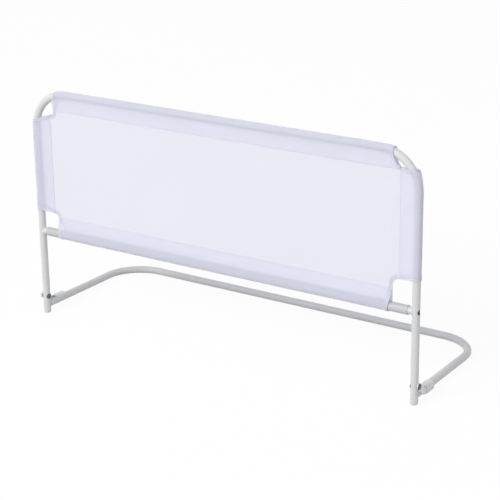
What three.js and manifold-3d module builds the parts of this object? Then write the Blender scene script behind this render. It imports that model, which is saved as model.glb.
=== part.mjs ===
// Folding bed guard rail
// A bent tube frame with a mesh panel stands beside the bed. A U-shaped base bar, hinged to both legs,
// lies under the mattress. X runs along the rail, Y goes back under the bed, Z is up.
// Lengths are in millimetres.

import * as THREE from 'three';
import Module from 'manifold-3d';
import { mergeVertices, toCreasedNormals } from 'three/addons/utils/BufferGeometryUtils.js';

const wasm = await Module();
wasm.setup();

// Driving sizes of the frame
const LEG_SPACING = 905;
const TOP_RAIL_HEIGHT = 507;
const CROSS_RAIL_HEIGHT = 194;
const TUBE_DIAMETER = 16;
const TUBE_WALL = 1.2;
const TOP_BEND_RADIUS = 78;
const CROSS_RAIL_DIAMETER = 19;
const CROSS_RAIL_WALL = 1;

// Driving sizes of the base bar
const BASE_DEPTH = 312;
const BASE_BEND_RADIUS = 85;
const ARM_HEIGHT = 19.5;
const PIVOT_HEIGHT = 40;

// Clearances between neighbouring pieces
const TOUCH_GAP = 0.3;
const FIT_GAP = 0.15;

// Plastic caps and plugs in the tube ends
const CAP_HEAD_LENGTH = 6;
const CAP_EDGE_RADIUS = 4.8;
const CAP_STEM_LENGTH = 11;
const CAP_RIB_LENGTH = 1.6;
const CAP_RIB_SPACING = 4;
const CAP_RIB_DEPTH = 0.6;
const CAP_RIB_COUNT = 2;
const ARM_PLUG_EDGE_RADIUS = 4.2;

// Joint between the cross rail and the legs
const RAIL_END_DISTANCE = 7.5;
const SADDLE_DIAMETER = 15.2;
const RAIL_PLUG_STEM_LENGTH = 20;
const RAIL_BOLT_DIAMETER = 6;
const RAIL_BOLT_HEAD_DIAMETER = 11.4;
const RAIL_BOLT_HEAD_HEIGHT = 3;
const RAIL_BOLT_HEAD_FACE = 5.2;
const RAIL_BOLT_EDGE_RADIUS = 0.8;
const RAIL_BOLT_LENGTH = 34;
const RAIL_BUSH_DIAMETER = 10;
const SOCKET_ACROSS_FLATS = 4;
const SOCKET_DEPTH = 2;
const NUT_ACROSS_FLATS = 10;
const NUT_THICKNESS = 5;
const NUT_DISTANCE = 11;

// Hinge between the base bar and the legs
const PLATE_THICKNESS = 2;
const PLATE_EYE_RADIUS = 7;
const PLATE_TAIL_START = 27;
const PLATE_TAIL_END = 58;
const PLATE_TAIL_TOP = 9;
const PLATE_TAIL_BOTTOM = 5;
const PLATE_CORNER_RADIUS = 3;
const PIVOT_BOLT_DIAMETER = 6;
const PIVOT_HEAD_DIAMETER = 13;
const PIVOT_HEAD_HEIGHT = 2.9;
const PIVOT_HEAD_RIM = 0.9;
const PIVOT_NECK_DIAMETER = 9;
const PIVOT_BUSH_DIAMETER = 11;
const PIVOT_BUSH_SHOULDER = 3.8;
const PIVOT_NUT_DIAMETER = 12;
const PIVOT_NUT_LENGTH = 5.4;
const PIVOT_NUT_FACE = 7;
const PIVOT_ACCESS_DIAMETER = 13;
const RIVET_DIAMETER = 4.8;
const RIVET_HEAD_DIAMETER = 8.4;
const RIVET_HEAD_HEIGHT = 1.5;
const RIVET_HEAD_RIM = 0.4;
const RIVET_TAIL_LENGTH = 2.5;
const RIVET_FRONT = 37;
const RIVET_REAR = 51;
const COVER_START = 31;
const COVER_LENGTH = 31;
const COVER_INNER_REACH = 6;
const COVER_BOTTOM_REACH = 7;
const COVER_TOP_MARGIN = 2.7;
const COVER_OUTER_WALL = 2.6;
const COVER_CORNER_RADIUS = 4.4;
const COVER_EDGE_RADIUS = 1.2;

// Fabric panel and sleeves, measured from the axes of the tubes that they hold
const FABRIC_THICKNESS = 0.9;
const MESH_THICKNESS = 1;
const SLEEVE_LOOSENESS = 0.4;
const SEAM_REACH = 38;
const SEAM_WIDTH = 4;
const SEAM_THICKNESS = 2.2;
const CUT_OVERRUN = 20;

// Cuts at the fabric's four corners, measured from where the axes of the leg and the rail cross: width along
// the rail, depth along the leg, bevel in the inner corner and how much deeper the cut is at the leg
const TOP_LEFT_CUT_WIDTH = 46;
const TOP_LEFT_CUT_DEPTH = 45.5;
const TOP_LEFT_CUT_BEVEL = 3;
const TOP_LEFT_CUT_SLANT = 8;
const TOP_RIGHT_CUT_WIDTH = 44;
const TOP_RIGHT_CUT_DEPTH = 37;
const TOP_RIGHT_CUT_BEVEL = 18;
const TOP_RIGHT_CUT_SLANT = 1;
const BOTTOM_LEFT_CUT_WIDTH = 46;
const BOTTOM_LEFT_CUT_DEPTH = 46;
const BOTTOM_LEFT_CUT_BEVEL = 10;
const BOTTOM_LEFT_CUT_SLANT = 4;
const BOTTOM_RIGHT_CUT_WIDTH = 49;
const BOTTOM_RIGHT_CUT_DEPTH = 56;
const BOTTOM_RIGHT_CUT_BEVEL = 11;
const BOTTOM_RIGHT_CUT_SLANT = 5;

// Numbers of facets
const TUBE_SIDES = 24;
const SMALL_SIDES = 20;
const BEND_STEPS = 10;
const CORNER_STEPS = 4;
const EYE_STEPS = 7;
const DOME_STEPS = 4;
const CREASE_ANGLE = Math.PI / 7;

// Sizes that follow from the driving ones
const TUBE_RADIUS = TUBE_DIAMETER / 2;
const TUBE_BORE = TUBE_RADIUS - TUBE_WALL;
const CROSS_RAIL_RADIUS = CROSS_RAIL_DIAMETER / 2;
const CROSS_RAIL_BORE = CROSS_RAIL_RADIUS - CROSS_RAIL_WALL;
const LEG_X = LEG_SPACING / 2;
const REAR_BAR_HEIGHT = TUBE_RADIUS;
const ARM_SLOPE = Math.atan2(ARM_HEIGHT - REAR_BAR_HEIGHT, BASE_DEPTH);
const ARM_LENGTH = BASE_DEPTH / Math.cos(ARM_SLOPE);
const ARM_FRONT = TUBE_RADIUS + TOUCH_GAP + CAP_HEAD_LENGTH;
const PIVOT_RISE = PIVOT_HEIGHT - ARM_HEIGHT;
const EYE_Y = -PIVOT_RISE * Math.sin(ARM_SLOPE);
const EYE_Z = PIVOT_RISE * Math.cos(ARM_SLOPE);
const PLATE_INNER = TUBE_RADIUS + TOUCH_GAP;
const PLATE_OUTER = PLATE_INNER + PLATE_THICKNESS;
const RAIL_END_X = LEG_X - TUBE_RADIUS - RAIL_END_DISTANCE;
const SLEEVE_RADIUS = TUBE_RADIUS + SLEEVE_LOOSENESS + FABRIC_THICKNESS;
const BOTTOM_SLEEVE_RADIUS = CROSS_RAIL_RADIUS + SLEEVE_LOOSENESS + FABRIC_THICKNESS;
const FRONT_EXTENT = BOTTOM_SLEEVE_RADIUS;
const REAR_EXTENT = BASE_DEPTH + TUBE_RADIUS;
const CENTRE_Y = (REAR_EXTENT - FRONT_EXTENT) / 2;

const SIDES = { left: -1, right: 1 };
const CUTS = {
  topLeft: {
    width: TOP_LEFT_CUT_WIDTH,
    depth: TOP_LEFT_CUT_DEPTH,
    bevel: TOP_LEFT_CUT_BEVEL,
    slant: TOP_LEFT_CUT_SLANT,
  },
  topRight: {
    width: TOP_RIGHT_CUT_WIDTH,
    depth: TOP_RIGHT_CUT_DEPTH,
    bevel: TOP_RIGHT_CUT_BEVEL,
    slant: TOP_RIGHT_CUT_SLANT,
  },
  bottomLeft: {
    width: BOTTOM_LEFT_CUT_WIDTH,
    depth: BOTTOM_LEFT_CUT_DEPTH,
    bevel: BOTTOM_LEFT_CUT_BEVEL,
    slant: BOTTOM_LEFT_CUT_SLANT,
  },
  bottomRight: {
    width: BOTTOM_RIGHT_CUT_WIDTH,
    depth: BOTTOM_RIGHT_CUT_DEPTH,
    bevel: BOTTOM_RIGHT_CUT_BEVEL,
    slant: BOTTOM_RIGHT_CUT_SLANT,
  },
};

// Materials
const whitePaint = new THREE.MeshStandardMaterial({ color: 0xf2f2f4, roughness: 0.35, metalness: 0 });
const whitePlastic = new THREE.MeshStandardMaterial({ color: 0xe9ebe8, roughness: 0.5, metalness: 0 });
const darkZinc = new THREE.MeshStandardMaterial({ color: 0x8b8d90, roughness: 0.4, metalness: 0.9 });
const meshFabric = new THREE.MeshStandardMaterial({ color: 0xececf4, roughness: 0.95, metalness: 0 });
const sleeveFabric = new THREE.MeshStandardMaterial({ color: 0xf0f0f5, roughness: 0.9, metalness: 0 });

// A path of straight stretches and round bends, with stations only where the direction changes
class BentPath extends THREE.Curve {
  constructor(corners, bendRadius) {
    super();
    this.points = [];
    this.tangents = [];
    const last = corners.length - 1;
    for (let i = 0; i <= last; i++) {
      const before = corners[Math.max(i - 1, 0)];
      const after = corners[Math.min(i + 1, last)];
      if (i === 0 || i === last) {
        this.addStation(corners[i], after.clone().sub(before).normalize());
      } else {
        this.addBend(before, corners[i], after, bendRadius);
      }
    }
  }

  addStation(point, tangent) {
    this.points.push(point.clone());
    this.tangents.push(tangent.clone());
  }

  addBend(before, corner, after, bendRadius) {
    const inward = corner.clone().sub(before).normalize();
    const outward = after.clone().sub(corner).normalize();
    const turn = inward.angleTo(outward);
    const axis = inward.clone().cross(outward).normalize();
    const start = corner.clone().addScaledVector(inward, -bendRadius * Math.tan(turn / 2));
    const toCentre = axis.clone().cross(inward);
    const centre = start.clone().addScaledVector(toCentre, bendRadius);
    for (let step = 0; step <= BEND_STEPS; step++) {
      const angle = turn * step / BEND_STEPS;
      const spoke = toCentre.clone().multiplyScalar(-bendRadius).applyAxisAngle(axis, angle);
      this.addStation(centre.clone().add(spoke), inward.clone().applyAxisAngle(axis, angle));
    }
  }

  getUtoTmapping(u) {
    return u;
  }

  between(list, t, target) {
    const place = t * (list.length - 1);
    const index = Math.min(Math.floor(place), list.length - 2);
    return target.copy(list[index]).lerp(list[index + 1], place - index);
  }

  getPoint(t, target = new THREE.Vector3()) {
    return this.between(this.points, t, target);
  }

  getTangent(t, target = new THREE.Vector3()) {
    return this.between(this.tangents, t, target).normalize();
  }
}

// Basic solids
function ringShape(outerRadius, innerRadius) {
  const shape = new THREE.Shape();
  shape.absarc(0, 0, outerRadius, 0, 2 * Math.PI);
  if (innerRadius > 0) {
    const hole = new THREE.Path();
    hole.absarc(0, 0, innerRadius, 0, 2 * Math.PI, true);
    shape.holes.push(hole);
  }
  return shape;
}

function tubeAlong(corners, bendRadius, outerRadius, innerRadius) {
  const path = new BentPath(corners, bendRadius);
  return new THREE.ExtrudeGeometry(ringShape(outerRadius, innerRadius), {
    extrudePath: path,
    steps: path.points.length - 1,
    curveSegments: TUBE_SIDES / 2,
  });
}

function prism(shape, depth, curveSegments = CORNER_STEPS) {
  return new THREE.ExtrudeGeometry(shape, { depth, curveSegments, bevelEnabled: false });
}

// A turned solid along +Z; the profile is a list of [radius, height] going up
function turned(profile, sides = SMALL_SIDES) {
  const points = profile.map(([radius, height]) => new THREE.Vector2(radius, height));
  return new THREE.LatheGeometry(points, sides).rotateX(Math.PI / 2);
}

// A plain cylinder along X from one place to another
function rodAlongX(fromX, toX, diameter, y, z) {
  const rod = new THREE.CylinderGeometry(diameter / 2, diameter / 2, Math.abs(toX - fromX), TUBE_SIDES);
  return rod.rotateZ(Math.PI / 2).translate((fromX + toX) / 2, y, z);
}

// Points of a quarter round on a turned profile, from one angle to another
function roundEdge(centreRadius, centreHeight, radius, fromAngle, toAngle) {
  const points = [];
  for (let step = 0; step <= DOME_STEPS; step++) {
    const angle = fromAngle + (toAngle - fromAngle) * step / DOME_STEPS;
    points.push([centreRadius + radius * Math.cos(angle), centreHeight + radius * Math.sin(angle)]);
  }
  return points;
}

// A domed head along +Z with a short straight rim
function domePoints(radius, rim, height, base) {
  const rise = height - rim;
  const points = [[radius, base], [radius, base + rim]];
  for (let step = 1; step <= DOME_STEPS; step++) {
    const angle = Math.PI / 2 * step / DOME_STEPS;
    const reach = step === DOME_STEPS ? 0 : radius * Math.cos(angle);
    points.push([reach, base + rim + rise * Math.sin(angle)]);
  }
  return points;
}

// Booleans
function toSolid(geometry) {
  const bare = geometry.clone();
  bare.deleteAttribute('normal');
  bare.deleteAttribute('uv');
  const merged = mergeVertices(bare);
  const index = merged.index.array;
  const triangles = [];
  for (let i = 0; i < index.length; i += 3) {
    const [a, b, c] = [index[i], index[i + 1], index[i + 2]];
    if (a !== b && b !== c && c !== a) {
      triangles.push(a, b, c);
    }
  }
  return new wasm.Manifold(new wasm.Mesh({
    numProp: 3,
    vertProperties: new Float32Array(merged.attributes.position.array),
    triVerts: new Uint32Array(triangles),
  }));
}

function toGeometry(solid) {
  const mesh = solid.getMesh();
  const geometry = new THREE.BufferGeometry();
  geometry.setAttribute('position', new THREE.BufferAttribute(new Float32Array(mesh.vertProperties), 3));
  geometry.setIndex(new THREE.BufferAttribute(new Uint32Array(mesh.triVerts), 1));
  return toCreasedNormals(geometry, CREASE_ANGLE);
}

function cutAway(geometry, tools) {
  return toGeometry(tools.reduce((solid, tool) => solid.subtract(toSolid(tool)), toSolid(geometry)));
}

function joined(geometries) {
  return toGeometry(geometries.map(toSolid).reduce((whole, solid) => whole.add(solid)));
}

function piece(name, geometry, material) {
  const mesh = new THREE.Mesh(geometry, material);
  mesh.name = name;
  return mesh;
}

// Upright frame
function upperFrame() {
  const corners = [
    new THREE.Vector3(-LEG_X, 0, CAP_HEAD_LENGTH),
    new THREE.Vector3(-LEG_X, 0, TOP_RAIL_HEIGHT),
    new THREE.Vector3(LEG_X, 0, TOP_RAIL_HEIGHT),
    new THREE.Vector3(LEG_X, 0, CAP_HEAD_LENGTH),
  ];
  const tube = tubeAlong(corners, TOP_BEND_RADIUS, TUBE_RADIUS, TUBE_BORE);
  const holes = [];
  for (const side of Object.values(SIDES)) {
    const axis = side * LEG_X;
    const outside = side * (LEG_X + TUBE_DIAMETER);
    const inside = side * (LEG_X - TUBE_DIAMETER);
    const headHole = RAIL_BOLT_HEAD_DIAMETER + 2 * TOUCH_GAP;
    const boltHole = RAIL_BOLT_DIAMETER + 2 * TOUCH_GAP;
    const neckHole = PIVOT_NECK_DIAMETER + 2 * TOUCH_GAP;
    holes.push(rodAlongX(axis, outside, headHole, 0, CROSS_RAIL_HEIGHT));
    holes.push(rodAlongX(axis, inside, boltHole, 0, CROSS_RAIL_HEIGHT));
    holes.push(rodAlongX(axis, outside, neckHole, 0, PIVOT_HEIGHT));
    holes.push(rodAlongX(axis, inside, PIVOT_ACCESS_DIAMETER, 0, PIVOT_HEIGHT));
  }
  return piece('upper_frame', cutAway(tube, holes), whitePaint);
}

// A ribbed plastic plug along +Z: rounded head at the bottom, stem above it
function tubePlug(edgeRadius) {
  const rib = TUBE_BORE - FIT_GAP;
  const stem = rib - CAP_RIB_DEPTH;
  const profile = [[0, 0]];
  profile.push(...roundEdge(TUBE_RADIUS - edgeRadius, edgeRadius, edgeRadius, -Math.PI / 2, 0));
  profile.push([TUBE_RADIUS, CAP_HEAD_LENGTH], [stem, CAP_HEAD_LENGTH]);
  for (let i = 1; i <= CAP_RIB_COUNT; i++) {
    const ribTop = CAP_HEAD_LENGTH + i * CAP_RIB_SPACING;
    profile.push([stem, ribTop - CAP_RIB_LENGTH], [rib, ribTop - CAP_RIB_LENGTH / 2], [stem, ribTop]);
  }
  profile.push([stem, CAP_HEAD_LENGTH + CAP_STEM_LENGTH], [0, CAP_HEAD_LENGTH + CAP_STEM_LENGTH]);
  return turned(profile, TUBE_SIDES);
}

function legCap(label, side) {
  const cap = piece(`leg_cap_${label}`, tubePlug(CAP_EDGE_RADIUS), whitePlastic);
  cap.position.x = side * LEG_X;
  return cap;
}

function crossRail() {
  const ends = [
    new THREE.Vector3(-RAIL_END_X, 0, CROSS_RAIL_HEIGHT),
    new THREE.Vector3(RAIL_END_X, 0, CROSS_RAIL_HEIGHT),
  ];
  return piece('cross_rail', tubeAlong(ends, 0, CROSS_RAIL_RADIUS, CROSS_RAIL_BORE), whitePaint);
}

function hexRod(acrossFlats, length) {
  return new THREE.CylinderGeometry(acrossFlats / Math.sqrt(3), acrossFlats / Math.sqrt(3), length, 6);
}

// The saddle plug, built for the right leg along X with the leg's axis at zero
function railPlug(label, side) {
  const stemEnd = -TUBE_RADIUS - RAIL_END_DISTANCE - RAIL_PLUG_STEM_LENGTH;
  const stemDiameter = 2 * (CROSS_RAIL_BORE - FIT_GAP);
  const railEnd = -TUBE_RADIUS - RAIL_END_DISTANCE;
  const body = joined([
    rodAlongX(stemEnd, railEnd, stemDiameter, 0, 0),
    rodAlongX(railEnd - RAIL_END_DISTANCE, 0, SADDLE_DIAMETER, 0, 0),
  ]);
  const legRoom = new THREE.CylinderGeometry(
    TUBE_RADIUS + FIT_GAP, TUBE_RADIUS + FIT_GAP, 2 * TUBE_DIAMETER, TUBE_SIDES).rotateX(Math.PI / 2);
  const bore = rodAlongX(stemEnd - TUBE_RADIUS, 0, RAIL_BOLT_DIAMETER + 2 * TOUCH_GAP, 0, 0);
  const pocketLength = RAIL_PLUG_STEM_LENGTH;
  const pocket = hexRod(NUT_ACROSS_FLATS + 2 * FIT_GAP, pocketLength).rotateZ(Math.PI / 2)
    .translate(railEnd - NUT_DISTANCE + NUT_THICKNESS - pocketLength / 2, 0, 0);
  const plug = piece(`rail_plug_${label}`, cutAway(body, [legRoom, bore, pocket]), whitePlastic);
  plug.position.set(side * LEG_X, 0, CROSS_RAIL_HEIGHT);
  plug.rotation.z = side > 0 ? 0 : Math.PI;
  return plug;
}

function railBolt(label, side) {
  const head = RAIL_BOLT_HEAD_DIAMETER / 2;
  const shank = RAIL_BOLT_DIAMETER / 2;
  const under = RAIL_BOLT_HEAD_FACE - RAIL_BOLT_HEAD_HEIGHT;
  const tip = under - RAIL_BOLT_LENGTH;
  const profile = [[0, tip], [shank, tip], [shank, under], [head, under]];
  const edge = RAIL_BOLT_EDGE_RADIUS;
  profile.push(...roundEdge(head - edge, RAIL_BOLT_HEAD_FACE - edge, edge, 0, Math.PI / 2));
  profile.push([0, RAIL_BOLT_HEAD_FACE]);
  const socket = hexRod(SOCKET_ACROSS_FLATS, 2 * SOCKET_DEPTH)
    .rotateX(Math.PI / 2)
    .translate(0, 0, RAIL_BOLT_HEAD_FACE);
  const bolt = piece(`rail_bolt_${label}`, cutAway(turned(profile), [socket]), darkZinc);
  bolt.position.set(side * LEG_X, 0, CROSS_RAIL_HEIGHT);
  bolt.rotation.y = side * Math.PI / 2;
  return bolt;
}

function ring(outerDiameter, innerDiameter, from, to) {
  const outer = outerDiameter / 2;
  const inner = innerDiameter / 2;
  return turned([[inner, from], [outer, from], [outer, to], [inner, to], [inner, from]]);
}

function railBush(label, side) {
  const from = -Math.sqrt(TUBE_BORE ** 2 - (RAIL_BUSH_DIAMETER / 2) ** 2) + FIT_GAP;
  const to = RAIL_BOLT_HEAD_FACE - RAIL_BOLT_HEAD_HEIGHT;
  const bore = RAIL_BOLT_DIAMETER + 2 * FIT_GAP;
  const bush = piece(`rail_bush_${label}`, ring(RAIL_BUSH_DIAMETER, bore, from, to), darkZinc);
  bush.position.set(side * LEG_X, 0, CROSS_RAIL_HEIGHT);
  bush.rotation.y = side * Math.PI / 2;
  return bush;
}

function railNut(label, side) {
  const bore = rodAlongX(-NUT_THICKNESS, NUT_THICKNESS, RAIL_BOLT_DIAMETER + 2 * FIT_GAP, 0, 0);
  const body = hexRod(NUT_ACROSS_FLATS, NUT_THICKNESS).rotateZ(Math.PI / 2);
  const nut = piece(`rail_nut_${label}`, cutAway(body, [bore]), darkZinc);
  nut.position.set(side * (RAIL_END_X - NUT_DISTANCE + NUT_THICKNESS / 2), 0, CROSS_RAIL_HEIGHT);
  return nut;
}

// Pivot fasteners, built along +Z as the outward direction, with the leg's axis at zero
function pivotPiece(name, geometry, material, side) {
  const part = piece(name, geometry, material);
  part.position.set(side * LEG_X, 0, PIVOT_HEIGHT);
  part.rotation.y = side * Math.PI / 2;
  return part;
}

function pivotBolt(label, side) {
  const shank = PIVOT_BOLT_DIAMETER / 2;
  const under = PLATE_OUTER + FIT_GAP;
  const profile = [[0, -PIVOT_NUT_FACE + FIT_GAP], [shank, -PIVOT_NUT_FACE + FIT_GAP], [shank, under]];
  profile.push(...domePoints(PIVOT_HEAD_DIAMETER / 2, PIVOT_HEAD_RIM, PIVOT_HEAD_HEIGHT, under));
  return pivotPiece(`pivot_bolt_${label}`, turned(profile), darkZinc, side);
}

function pivotBush(label, side) {
  const bore = PIVOT_BOLT_DIAMETER / 2 + FIT_GAP;
  const neck = PIVOT_NECK_DIAMETER / 2;
  const body = PIVOT_BUSH_DIAMETER / 2;
  const innerEnd = -PIVOT_NUT_FACE + PIVOT_NUT_LENGTH;
  const outerEnd = PLATE_INNER - FIT_GAP;
  const profile = [[bore, innerEnd], [body, innerEnd], [body, PIVOT_BUSH_SHOULDER]];
  profile.push([neck, PIVOT_BUSH_SHOULDER], [neck, outerEnd], [bore, outerEnd], [bore, innerEnd]);
  return pivotPiece(`pivot_bush_${label}`, turned(profile), darkZinc, side);
}

function pivotNut(label, side) {
  const bore = PIVOT_BOLT_DIAMETER + 2 * FIT_GAP;
  const nut = ring(PIVOT_NUT_DIAMETER, bore, -PIVOT_NUT_FACE, -PIVOT_NUT_FACE + PIVOT_NUT_LENGTH);
  return pivotPiece(`pivot_nut_${label}`, nut, darkZinc, side);
}

// Base, built in the plane of its arms: Y along the arms, Z square to them, the arm axis at zero height
function baseBar() {
  const corners = [
    new THREE.Vector3(-LEG_X, ARM_FRONT, 0),
    new THREE.Vector3(-LEG_X, ARM_LENGTH, 0),
    new THREE.Vector3(LEG_X, ARM_LENGTH, 0),
    new THREE.Vector3(LEG_X, ARM_FRONT, 0),
  ];
  const holes = [];
  for (const side of Object.values(SIDES)) {
    for (const y of [RIVET_FRONT, RIVET_REAR]) {
      const hole = RIVET_DIAMETER + 2 * FIT_GAP;
      holes.push(rodAlongX(side * LEG_X, side * (LEG_X + TUBE_DIAMETER), hole, y, 0));
    }
  }
  const tube = tubeAlong(corners, BASE_BEND_RADIUS, TUBE_RADIUS, TUBE_BORE);
  return piece('base_bar', cutAway(tube, holes), whitePaint);
}

function armPlug(label, side) {
  const plug = piece(`arm_plug_${label}`, tubePlug(ARM_PLUG_EDGE_RADIUS), whitePlastic);
  plug.position.set(side * LEG_X, ARM_FRONT - CAP_HEAD_LENGTH, 0);
  plug.rotation.x = -Math.PI / 2;
  return plug;
}

// Where a line from a point touches a circle; turn is 1 for the touch on the left of the line to the centre
function touchAngle(centre, radius, point, turn) {
  const away = point.clone().sub(centre);
  return away.angle() + turn * Math.acos(radius / away.length());
}

// Outline of the plate seen along X: a round eye on the pivot, a sloping neck and a tail along the arm
function plateOutline() {
  const eye = new THREE.Vector2(EYE_Y, EYE_Z);
  const upperFoot = new THREE.Vector2(PLATE_TAIL_START, PLATE_TAIL_TOP);
  const lowerFoot = new THREE.Vector2(PLATE_TAIL_START - PLATE_TAIL_BOTTOM, -PLATE_TAIL_BOTTOM);
  const fromAngle = touchAngle(eye, PLATE_EYE_RADIUS, upperFoot, 1);
  const toAngle = touchAngle(eye, PLATE_EYE_RADIUS, lowerFoot, -1);
  const corner = PLATE_CORNER_RADIUS;
  const shape = new THREE.Shape();
  shape.absarc(eye.x, eye.y, PLATE_EYE_RADIUS, fromAngle, toAngle + 2 * Math.PI);
  shape.lineTo(lowerFoot.x, lowerFoot.y);
  shape.absarc(PLATE_TAIL_END - corner, corner - PLATE_TAIL_BOTTOM, corner, -Math.PI / 2, 0);
  shape.absarc(PLATE_TAIL_END - corner, PLATE_TAIL_TOP - corner, corner, 0, Math.PI / 2);
  shape.lineTo(upperFoot.x, upperFoot.y);
  shape.closePath();
  return shape;
}

function hole(x, y, diameter) {
  const path = new THREE.Path();
  path.absarc(x, y, diameter / 2, 0, 2 * Math.PI, true);
  return path;
}

function hingePlate(label, side) {
  const shape = plateOutline();
  shape.holes.push(hole(EYE_Y, EYE_Z, PIVOT_BOLT_DIAMETER + 2 * FIT_GAP));
  for (const y of [RIVET_FRONT, RIVET_REAR]) {
    shape.holes.push(hole(y, 0, RIVET_DIAMETER + 2 * FIT_GAP));
  }
  // Turned so that the outline's X runs along Y, its Y is up and its depth runs along X
  const geometry = prism(shape, PLATE_THICKNESS, EYE_STEPS).rotateX(Math.PI / 2).rotateZ(Math.PI / 2);
  const plate = piece(`hinge_plate_${label}`, geometry, whitePaint);
  plate.position.x = side * (LEG_X + PLATE_INNER) + (side < 0 ? -PLATE_THICKNESS : 0);
  return plate;
}

function plateRivet(label, side, place, y) {
  const shank = RIVET_DIAMETER / 2;
  const tail = TUBE_BORE - RIVET_TAIL_LENGTH;
  const profile = [[0, tail], [shank, tail], [shank, PLATE_OUTER]];
  profile.push(...domePoints(RIVET_HEAD_DIAMETER / 2, RIVET_HEAD_RIM, RIVET_HEAD_HEIGHT, PLATE_OUTER));
  const rivet = piece(`plate_rivet_${label}_${place}`, turned(profile), darkZinc);
  rivet.position.set(side * LEG_X, y, 0);
  rivet.rotation.y = side * Math.PI / 2;
  return rivet;
}

// Rounded outline of the cover, seen along the arm: over the tube's top and down the plate's side
function coverOutline(side) {
  const inner = -COVER_INNER_REACH * side;
  const outer = (PLATE_OUTER + COVER_OUTER_WALL) * side;
  const left = Math.min(inner, outer);
  const right = Math.max(inner, outer);
  const bottom = -COVER_BOTTOM_REACH;
  const top = TUBE_RADIUS + COVER_TOP_MARGIN;
  const radius = COVER_CORNER_RADIUS;
  const shape = new THREE.Shape();
  shape.absarc(right - radius, bottom + radius, radius, -Math.PI / 2, 0);
  shape.absarc(right - radius, top - radius, radius, 0, Math.PI / 2);
  shape.absarc(left + radius, top - radius, radius, Math.PI / 2, Math.PI);
  shape.absarc(left + radius, bottom + radius, radius, Math.PI, 3 * Math.PI / 2);
  shape.closePath();
  return shape;
}

function hingeCover(label, side) {
  const body = new THREE.ExtrudeGeometry(coverOutline(side), {
    depth: COVER_LENGTH - 2 * COVER_EDGE_RADIUS,
    curveSegments: CORNER_STEPS,
    bevelThickness: COVER_EDGE_RADIUS,
    bevelSize: COVER_EDGE_RADIUS,
    bevelOffset: -COVER_EDGE_RADIUS,
    bevelSegments: 2,
  }).rotateX(Math.PI / 2).translate(0, COVER_START + COVER_LENGTH - COVER_EDGE_RADIUS, 0);
  const tubeRoom = new THREE.CylinderGeometry(
    TUBE_RADIUS + FIT_GAP, TUBE_RADIUS + FIT_GAP, 4 * COVER_LENGTH, TUBE_SIDES).translate(0, COVER_START, 0);
  const slotWidth = PLATE_OUTER + FIT_GAP;
  const slotHeight = PLATE_TAIL_TOP + PLATE_TAIL_BOTTOM + 2 * FIT_GAP;
  const slotLength = PLATE_TAIL_END + FIT_GAP - COVER_START / 2;
  const plateRoom = new THREE.BoxGeometry(slotWidth, slotLength, slotHeight).translate(
    side * slotWidth / 2, COVER_START / 2 + slotLength / 2, (PLATE_TAIL_TOP - PLATE_TAIL_BOTTOM) / 2);
  const pocketEnd = side * (PLATE_OUTER + RIVET_HEAD_HEIGHT + FIT_GAP);
  const pocketDiameter = RIVET_HEAD_DIAMETER + 2 * TOUCH_GAP;
  const pocketStart = side * PLATE_INNER;
  const pockets = [RIVET_FRONT, RIVET_REAR].map(
    (y) => rodAlongX(pocketStart, pocketEnd, pocketDiameter, y, 0));
  const cover = piece(`hinge_cover_${label}`, cutAway(body, [tubeRoom, plateRoom, ...pockets]), whitePlastic);
  cover.position.x = side * LEG_X;
  return cover;
}

// Fabric
function bendInset(distanceIntoBend) {
  const into = Math.max(distanceIntoBend, 0);
  return TOP_BEND_RADIUS - Math.sqrt(TOP_BEND_RADIUS ** 2 - into ** 2);
}

// Section of a loose sleeve: round the tube at zero, roomy towards +X, drawn in to a seam at the reach
function teardrop(path, radius, inset, reach, tipHalf) {
  const tip = new THREE.Vector2(reach, tipHalf);
  const near = new THREE.Vector2(inset, 0);
  const touch = touchAngle(near, radius, tip, 1);
  path.moveTo(tip.x, tip.y);
  path.absarc(inset, 0, radius, touch, Math.PI / 2);
  path.absarc(0, 0, radius, Math.PI / 2, 3 * Math.PI / 2);
  path.absarc(inset, 0, radius, 3 * Math.PI / 2, 2 * Math.PI - touch);
  path.lineTo(tip.x, -tip.y);
  path.closePath();
}

function sleeve(length, radius, inset) {
  const shape = new THREE.Shape();
  teardrop(shape, radius, inset, SEAM_REACH, SEAM_THICKNESS / 2);
  const inside = new THREE.Path();
  teardrop(inside, radius - FABRIC_THICKNESS, inset, SEAM_REACH - SEAM_WIDTH, FIT_GAP);
  shape.holes.push(inside);
  return prism(shape, length, 2 * CORNER_STEPS);
}

// What a corner's cut takes away; drop is 1 where the fabric stands above its rail and -1 where it
// hangs below
function cornerCut(side, railHeight, drop, cut) {
  const slantEnd = cut.depth + cut.slant * (1 + CUT_OVERRUN / (cut.width - cut.bevel));
  const points = [
    [cut.width, -CUT_OVERRUN],
    [cut.width, cut.depth - cut.bevel],
    [cut.width - cut.bevel, cut.depth],
    [-CUT_OVERRUN, slantEnd],
    [-CUT_OVERRUN, -CUT_OVERRUN],
  ];
  const shape = new THREE.Shape(points.map(([reach, depth]) => new THREE.Vector2(
    side * (LEG_X - reach), railHeight + drop * depth)));
  return prism(shape, 2 * CUT_OVERRUN).translate(0, 0, -CUT_OVERRUN).rotateX(Math.PI / 2);
}

function topCut(side) {
  return cornerCut(side, TOP_RAIL_HEIGHT, -1, side < 0 ? CUTS.topLeft : CUTS.topRight);
}

function bottomCut(side) {
  return cornerCut(side, CROSS_RAIL_HEIGHT, 1, side < 0 ? CUTS.bottomLeft : CUTS.bottomRight);
}

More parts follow.
